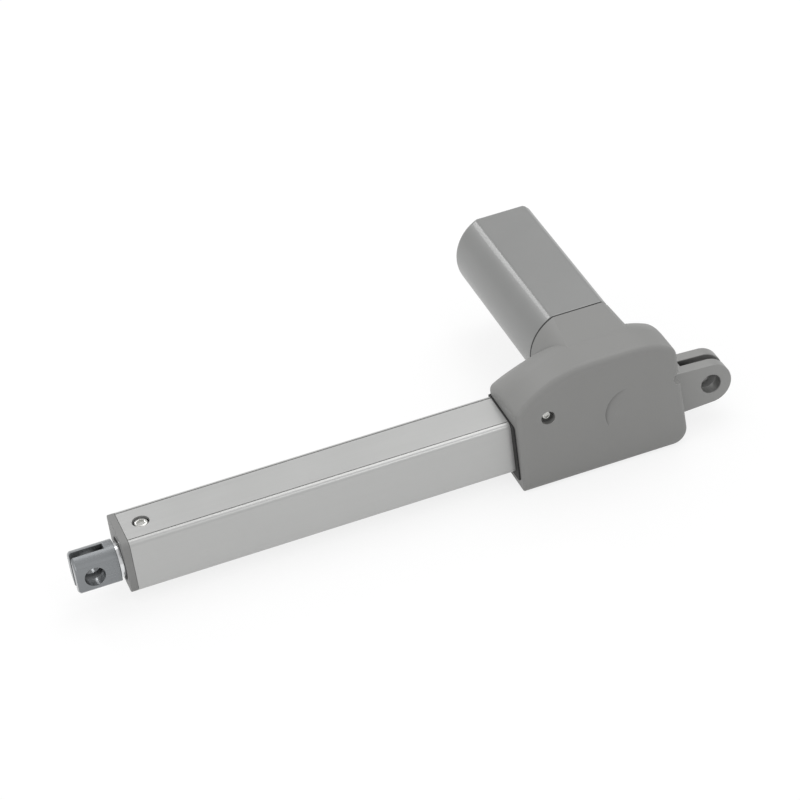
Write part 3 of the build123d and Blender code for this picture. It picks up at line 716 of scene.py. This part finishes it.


# The cavity values of these finishes paint shade into slots, bores, recesses and joints.
FINISHES: dict[Slot, Finish] = {
    Slot.HOUSING: Finish(
        colour=(0.205, 0.205, 0.200), light=(0.34, 0.34, 0.33), roughness=0.5,
        mottle=0.05, wear=0.25, painted_shade=0.8, painted_shade_reach=2.5 * MM,
    ),
    Slot.COVER: Finish(
        colour=(0.214, 0.216, 0.213), light=(0.42, 0.42, 0.41), roughness=0.36, metallic=0.2,
        mottle=0.05, grain_scale=2600.0, grain_height=0.008 * MM, wear=0.2, coat=0.15,
        painted_shade=0.8, painted_shade_reach=2.5 * MM,
    ),
    Slot.TUBE: Finish(
        colour=(0.445, 0.447, 0.441), light=(0.64, 0.64, 0.63), roughness=0.32, metallic=0.45,
        mottle=0.04, grain_height=0.004 * MM, streak_axis=Axis.X, streak_depth=0.12,
        painted_shade=0.8, painted_shade_reach=1.0 * MM,
    ),
    Slot.CAP: Finish(
        colour=(0.187, 0.187, 0.184), light=(0.36, 0.36, 0.35), roughness=0.5, wear=0.25, painted_shade=0.6
    ),
    Slot.EYE: Finish(
        colour=(0.25, 0.25, 0.245), light=(0.45, 0.45, 0.44), roughness=0.45, metallic=0.35,
        grain_scale=1300.0, grain_height=0.03 * MM, wear=0.4, painted_shade=1.1, painted_shade_reach=6.0 * MM,
    ),
    Slot.ROD: Finish(
        colour=(0.72, 0.73, 0.74), light=(0.85, 0.85, 0.86), roughness=0.12, metallic=1.0,
        mottle=0.03, grain_height=0.001 * MM, streak_axis=Axis.Y, streak_depth=0.05, streak_scale=1400.0,
    ),
    Slot.ROD_EYE: Finish(
        colour=(0.215, 0.225, 0.234), light=(0.50, 0.52, 0.53), roughness=0.26, metallic=0.5,
        grain_height=0.002 * MM, streak_axis=Axis.X, streak_depth=0.025, wear=0.35,
        painted_shade=1.1, painted_shade_reach=6.0 * MM,
    ),
    Slot.SCREW: Finish(
        colour=(0.55, 0.55, 0.53), light=(0.8, 0.8, 0.78), roughness=0.25, metallic=1.0, wear=0.5,
        grain_height=0.003 * MM,
    ),
    Slot.STEEL: Finish(
        colour=(0.50, 0.50, 0.51), light=(0.7, 0.7, 0.7), roughness=0.28, metallic=1.0, wear=0.2,
        grain_height=0.002 * MM,
    ),
    Slot.BRONZE: Finish(
        colour=(0.60, 0.42, 0.20), light=(0.78, 0.6, 0.34), roughness=0.3, metallic=1.0, wear=0.3,
        grain_height=0.003 * MM,
    ),
    Slot.CAN: Finish(colour=(0.33, 0.34, 0.35), light=(0.5, 0.5, 0.5), roughness=0.35, metallic=0.8),
    Slot.MAGNET: Finish(colour=(0.05, 0.05, 0.05), light=(0.1, 0.1, 0.1), roughness=0.6),
    Slot.ACETAL: Finish(colour=(0.74, 0.72, 0.66), light=(0.84, 0.82, 0.77), roughness=0.4),
    Slot.RUBBER: Finish(
        colour=(0.018, 0.018, 0.018), light=(0.045, 0.045, 0.045), roughness=0.7, grain_height=0.03 * MM
    ),
    Slot.SOCKET: Finish(colour=(0.03, 0.03, 0.03), light=(0.07, 0.07, 0.07), roughness=0.35),
    Slot.BOARD: Finish(colour=(0.05, 0.16, 0.08), light=(0.08, 0.24, 0.12), roughness=0.4),
}


@dataclass
class Paintshop:
    """Builds every finish once and puts it on pieces and nodes.

    Attributes:
        effects: The shared node groups.
        materials: The finished materials by slot.
    """

    effects: Effects
    materials: dict[Slot, bpy.types.Material] = field(default_factory=dict)

    @classmethod
    def open(cls) -> Paintshop:
        """Builds the node groups and every material.

        Returns:
            The paintshop, ready for use.
        """
        shop = cls(Effects.build())
        for slot, finish in FINISHES.items():
            shop.materials[slot] = finish.build(f"{slot.value}_finish", shop.effects)
        return shop

    def dress(self, piece: bpy.types.Object, slot: Slot) -> None:
        """Gives a piece one finish all over.

        Args:
            piece: The object to dress.
            slot: The slot whose finish it takes.
        """
        piece.data.materials.clear()
        piece.data.materials.append(self.materials[slot])

    def dress_nodes(self) -> None:
        """Gives every node of the frame the finish of its own slot."""
        slots = {entry["node"]: entry["material_slot"] for entry in frame["record"]["subparts"]}
        for name, node in frame["nodes"].items():
            self.dress(node, Slot(slots[name]))
        LOG.info("dressed %d nodes", len(slots))


@dataclass
class SubAssembly:
    """A group of pieces that belong together.

    Attributes:
        shop: Where the pieces get their finish.
        made: The names of the pieces made so far.
    """

    shop: Paintshop
    made: list[str] = field(default_factory=list)

    def hand_over(self, piece: bpy.types.Object, slot: Slot, body: str, *nodes: str) -> None:
        """Dresses a piece, puts it on its body and lets it stand for CAD nodes.

        Args:
            piece: The finished piece, with its place in its mesh.
            slot: The slot it takes its finish from.
            body: The body it moves with.
            nodes: The nodes that it stands for.
        """
        self.shop.dress(piece, slot)
        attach(piece, body)
        if nodes:
            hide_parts(*nodes)
        self.made.append(piece.name)
        LOG.info("made %s on %s, %d faces", piece.name, body, len(piece.data.polygons))

    def merged(self, node: str, name: str) -> bpy.types.Object:
        """Copies a CAD node, joins its loose triangles and dissolves them in flat faces.

        Args:
            node: The node's name.
            name: The copy's name.

        Returns:
            The copy.
        """
        deselect()
        piece = bpy.data.objects.new(name, frame["nodes"][node].data.copy())
        bpy.context.collection.objects.link(piece)
        select_only(piece)
        bpy.ops.object.mode_set(mode="EDIT")
        bpy.ops.mesh.select_all(action="SELECT")
        bpy.ops.mesh.remove_doubles(threshold=MERGE_DISTANCE)
        bpy.ops.mesh.dissolve_limited(angle_limit=radians(FLAT_ANGLE))
        bpy.ops.object.mode_set(mode="OBJECT")
        return piece

    def soften(self, node: str, width: float, sharp: float = 35.0) -> bpy.types.Object:
        """Copies a CAD node and rounds the copy's sharp edges.

        Args:
            node: The node's name.
            width: How far the rounding reaches, in metres.
            sharp: The angle past which an edge is rounded, in degrees.

        Returns:
            The rounded copy.
        """
        piece = self.merged(node, f"{node}_rounded")
        round_edges(piece, width, sharp)
        return piece


@dataclass(frozen=True)
class Lamp:
    """One square soft lamp.

    Attributes:
        name: The lamp's name.
        spot: Its position.
        size: Its side.
        power: Its power in watts.
    """

    name: str
    spot: Triple
    size: float
    power: float

    def hang(self, target: Triple) -> None:
        """Adds the lamp to the scene.

        Args:
            target: The point that it faces.
        """
        deselect()
        bpy.ops.object.light_add(type="AREA", location=self.spot)
        lamp = bpy.context.object
        lamp.name = self.name
        lamp.data.size = self.size
        lamp.data.energy = self.power
        aim = Vector(target) - Vector(self.spot)
        lamp.rotation_euler = aim.to_track_quat("-Z", "Y").to_euler()


LAMPS = (
    Lamp("key_softbox", (-0.35, -0.45, 1.25), size=1.1, power=7.0),
    Lamp("side_softbox", (1.5, 0.3, 0.7), size=0.9, power=4.0),
    Lamp("front_softbox", (-0.7, 1.3, 0.7), size=0.6, power=0.8),
    Lamp("corner_softbox", (-0.22, 0.86, 1.14), size=0.35, power=1.6),
    Lamp("back_softbox", (0.52, -1.42, 0.94), size=0.32, power=2.8),
)


@dataclass
class Studio:
    """The floor, the surroundings, the lamps and the camera.

    Attributes:
        middle: The point that the floor lies under and the lamps face.
        floor_gap: How far the floor lies below the part.
        floor_size: The floor's side.
        floor_colour: The floor's colour.
        floor_roughness: The floor's roughness.
        floor_glow: The share of plain white in what the camera, metal and glass see of the floor.
        world_strength: The strength of the pale surroundings.
        camera_place: The camera's position.
        camera_turn: The camera's turn about X, Y and Z, in degrees.
        camera_lens: The focal length, in millimetres.
        camera_sensor: The sensor's width, in millimetres.
        camera_near: How near the camera still sees.
    """

    middle: Triple = (0.15, 0.0, 0.0)
    floor_gap: float = 0.4 * MM
    floor_size: float = 6.0
    floor_colour: Triple = (0.92, 0.92, 0.92)
    floor_roughness: float = 0.9
    floor_glow: float = 0.8
    world_strength: float = 0.75
    camera_place: Triple = (0.46130, 1.12903, 0.85708)
    camera_turn: Triple = (54.7859, 6.7990, 160.0840)
    camera_lens: float = 135.0
    camera_sensor: float = 36.0
    camera_near: float = 0.05

    def build(self) -> None:
        """Builds the whole studio."""
        self.add_floor()
        self.add_world()
        for lamp in LAMPS:
            lamp.hang(self.middle)
        self.add_camera()
        bpy.context.scene.view_settings.view_transform = "Standard"
        LOG.info("studio built")

    def add_floor(self) -> None:
        """Lays the pale floor just under the part."""
        low = CAD_BOX[0]
        deselect()
        bpy.ops.mesh.primitive_plane_add(
            size=self.floor_size, location=(self.middle[0], self.middle[1], low[2] - self.floor_gap)
        )
        floor = bpy.context.object
        floor.name = "studio_floor"
        material = bpy.data.materials.new("studio_white")
        material.use_nodes = True
        tree = material.node_tree
        shader = tree.nodes["Principled BSDF"]
        feed(tree, self.floor_colour, shader.inputs["Base Color"])
        shader.inputs["Roughness"].default_value = self.floor_roughness
        shader.inputs["Specular IOR Level"].default_value = 0.0
        glow = tree.nodes.new("ShaderNodeEmission")
        glow.inputs["Color"].default_value = WHITE
        path = tree.nodes.new("ShaderNodeLightPath")
        seen = math_node(tree, "MAXIMUM", path.outputs["Is Camera Ray"], path.outputs["Is Glossy Ray"])
        seen = math_node(tree, "MAXIMUM", seen, path.outputs["Is Transmission Ray"])
        share = math_node(tree, "MULTIPLY", seen, self.floor_glow)
        mixed = shader_mix(tree, share, shader.outputs["BSDF"], glow.outputs["Emission"])
        link(tree, mixed, tree.nodes["Material Output"].inputs["Surface"])
        floor.data.materials.append(material)

    def add_world(self) -> None:
        """Sets pale, even surroundings, white where the camera sees them."""
        world = bpy.data.worlds.new("studio_world")
        bpy.context.scene.world = world
        world.use_nodes = True
        tree = world.node_tree
        pale = tree.nodes["Background"]
        pale.inputs["Color"].default_value = WHITE
        pale.inputs["Strength"].default_value = self.world_strength
        backdrop = tree.nodes.new("ShaderNodeBackground")
        backdrop.inputs["Color"].default_value = WHITE
        backdrop.inputs["Strength"].default_value = 1.0
        path = tree.nodes.new("ShaderNodeLightPath")
        seen = path.outputs["Is Camera Ray"]
        mixed = shader_mix(tree, seen, pale.outputs["Background"], backdrop.outputs["Background"])
        link(tree, mixed, tree.nodes["World Output"].inputs["Surface"])

    def add_camera(self) -> None:
        """Stands the camera at the photograph's angle."""
        deselect()
        bpy.ops.object.camera_add(
            location=self.camera_place, rotation=Euler([radians(turn) for turn in self.camera_turn])
        )
        camera = bpy.context.object
        camera.name = "studio_camera"
        camera.data.lens = self.camera_lens
        camera.data.sensor_width = self.camera_sensor
        camera.data.clip_start = self.camera_near
        bpy.context.scene.camera = camera


@dataclass(frozen=True)
class CapScrew:
    """A domed cap screw with a six-sided socket.

    Attributes:
        node: The CAD node it stands for.
        way: The direction that its head faces.
        head: The head's radius.
        height: The head's height.
        shank: The shank's radius.
        socket: The socket's width across its corners.
        dome: The dome's height, as a share of the head's.
        flat: The radius of the dome's flat top, as a share of the head's.
        shoulder: The radius of the dome's shoulder, as a share of the head's.
        shoulder_fall: How far the shoulder lies below the top, as a share of the dome's height.
    """

    node: str
    way: Axis
    head: float
    height: float
    shank: float
    socket: float
    dome: float = 0.3
    flat: float = 0.72
    shoulder: float = 0.93
    shoulder_fall: float = 0.35

    def build(self) -> bpy.types.Object:
        """Builds the screw in the place of its node.

        Returns:
            The finished screw.
        """
        low, high = (Vector(corner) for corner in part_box(self.node))
        middle = (low + high) / 2
        length = (high - low).dot(Vector(self.way.value))
        dome = self.dome * self.height
        profile = [
            (0.0, 0.0),
            (self.flat * self.head, 0.0),
            (self.shoulder * self.head, -self.shoulder_fall * dome),
            (self.head, -dome),
            (self.head, -self.height),
            (self.shank, -self.height),
            (self.shank, -length + self.shank / 2),
            (self.shank / 2, -length),
            (0.0, -length),
        ]
        piece = lathe(f"{self.node}_domed", profile)
        deselect()
        bpy.ops.mesh.primitive_cylinder_add(
            vertices=6, radius=self.socket / 2, depth=self.height, location=(0.0, 0.0, 0.0)
        )
        cut(piece, bpy.context.object)
        round_edges(piece, width=0.12 * MM, sharp=40.0, segments=2)
        seat = [top if along else centre for along, top, centre in zip(self.way.value, high, middle)]
        place(piece, Vector(seat), self.way)
        return piece


class Fasteners(SubAssembly):
    """The two screws that are seen from the front, and a dark ring that paints the shade round one of
    them.
    """

    def build(self) -> None:
        """Builds both screws and the dark ring of painted shade."""
        side = CapScrew(
            "side_screw", Axis.Y, head=2.3 * MM, height=1.3 * MM, shank=1.4 * MM, socket=2.6 * MM
        )
        guide = CapScrew(
            "guide_screw", Axis.Z, head=3.4 * MM, height=1.5 * MM, shank=1.4 * MM, socket=4.2 * MM
        )
        for screw in (side, guide):
            self.hand_over(screw.build(), Slot.SCREW, HOUSING_SET, screw.node)
        # A dark ring in the recess round the guide screw's head paints the recess's shade.
        self.hand_over(self.build_shade_ring(guide), Slot.RUBBER, HOUSING_SET)

    def build_shade_ring(self, screw: CapScrew) -> bpy.types.Object:
        """Builds a dark rubber ring round a screw's head, put there as painted shade in the tube's
        recess.

        Args:
            screw: The guide screw.

        Returns:
            The dark ring, in the tube's recess.
        """
        low, high = (Vector(corner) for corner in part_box(screw.node))
        clearance, reach, thick = 0.03 * MM, 0.85 * MM, 0.4 * MM
        inner = screw.head + clearance
        outer = screw.head + reach
        crown = 1.3 * thick
        profile = [
            (inner, 0.0),
            (outer, 0.0),
            (outer, thick),
            ((inner + outer) / 2, crown),
            (inner, thick),
            (inner, 0.0),
        ]
        shade_ring = lathe("guide_screw_shade_ring", profile)
        seat = Vector(((low.x + high.x) / 2, (low.y + high.y) / 2, high.z - screw.height))
        place(shade_ring, seat, Axis.Z)
        shade(shade_ring, sharp=50.0)
        return shade_ring


class Castings(SubAssembly):
    """The cast and machined pieces whose edges the photograph shows rounded, and the motor's gasket."""

    def build(self) -> None:
        """Builds the rounded eyes, front cap and motor cover, and the gasket's bead."""
        self.hand_over(self.soften("rear_eye", width=0.6 * MM), Slot.EYE, HOUSING_SET, "rear_eye")
        self.hand_over(self.soften("front_cap", width=0.5 * MM), Slot.CAP, HOUSING_SET, "front_cap")
        self.hand_over(self.soften("motor_cover", width=0.8 * MM), Slot.COVER, HOUSING_SET, "motor_cover")
        self.hand_over(self.soften("rod_eye", width=0.3 * MM), Slot.ROD_EYE, ROD_SET, "rod_eye")
        bead = self.build_bead(outwards=0.5 * MM, over=0.7 * MM)
        self.hand_over(bead, Slot.RUBBER, HOUSING_SET, "motor_gasket")

    def build_bead(self, outwards: float, over: float) -> bpy.types.Object:
        """Builds the motor gasket as it is squeezed into the joint between the collar and the cover.

        Args:
            outwards: How far the bead is squeezed outwards, in metres.
            over: How far it comes over the cover's rounded rim, in metres.

        Returns:
            The squeezed gasket.
        """
        bead = self.merged("motor_gasket", "motor_gasket_bead")
        can_low, can_high = (Vector(corner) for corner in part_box("motor_can"))
        axis = (can_low + can_high) / 2
        clearance = 1.0 * MM
        hole = (can_high.z - can_low.z) / 2 + clearance
        low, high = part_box("motor_gasket")
        spread = 1.0 + 2.0 * outwards / (high[0] - low[0])
        for vertex in bead.data.vertices:
            across = Vector((vertex.co.x - axis.x, vertex.co.z - axis.z))
            if across.length > hole:
                vertex.co.x = axis.x + spread * across.x
                vertex.co.z = axis.z + spread * across.y
            if vertex.co.y < (low[1] + high[1]) / 2:
                vertex.co.y -= over
        round_edges(bead, width=outwards / 4, sharp=50.0, segments=2)
        return bead


class Drive(SubAssembly):
    """The threaded spindle inside the tube.

    Attributes:
        pitch: How far the thread climbs in a turn.
        crest: The thread's outer radius.
        root: The thread's inner radius.
        crest_width: The ridge's width at its crest.
        root_width: The ridge's width at its root.
        overlap: How far the ridge goes into the core.
        collar: The plain length between the bearing and the thread.
        clearance: How far the form that cuts the core reaches past the crest.
    """

    pitch = 4.0 * MM
    crest = 5.98 * MM
    root = 4.2 * MM
    crest_width = 1.46 * MM
    root_width = 2.42 * MM
    overlap = 0.1 * MM
    collar = 5.0 * MM
    clearance = 1.0 * MM

    def build(self) -> None:
        """Builds the spindle with its trapezoidal thread."""
        spindle = self.soften("spindle", width=0.2 * MM)
        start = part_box("bearing_inner_ring")[1][0] + self.collar
        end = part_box("spindle_guide")[0][0] - self.pitch
        turns = int((end - start) / self.pitch) - 1
        length = (turns + 1) * self.pitch
        outside = self.crest + self.clearance
        sleeve_profile = [
            (self.root, 0.0),
            (outside, 0.0),
            (outside, length),
            (self.root, length),
            (self.root, 0.0),
        ]
        ridge_section = [
            (self.root - self.overlap, -self.root_width / 2),
            (self.crest, -self.crest_width / 2),
            (self.crest, self.crest_width / 2),
            (self.root - self.overlap, self.root_width / 2),
        ]
        sleeve = lathe("sleeve", sleeve_profile)
        ridge = thread("ridge", ridge_section, self.pitch, turns)
        place(sleeve, Vector((start, 0.0, 0.0)), Axis.X)
        place(ridge, Vector((start + self.pitch / 2, 0.0, 0.0)), Axis.X)
        cut(spindle, sleeve)
        join(spindle, ridge)
        spindle.name = "spindle_threaded"
        shade(spindle, sharp=25.0)
        self.hand_over(spindle, Slot.STEEL, SPINDLE_SET, "spindle")


def main() -> None:
    """Builds everything in order and hands the result over."""
    logging.basicConfig(level=logging.INFO, format="%(message)s")
    deselect()
    Studio().build()
    shop = Paintshop.open()
    shop.dress_nodes()
    for group in (Fasteners(shop), Castings(shop), Drive(shop)):
        group.build()
        LOG.info("%s: %s", type(group).__name__, ", ".join(group.made))


if __name__ == "__main__":
    main()
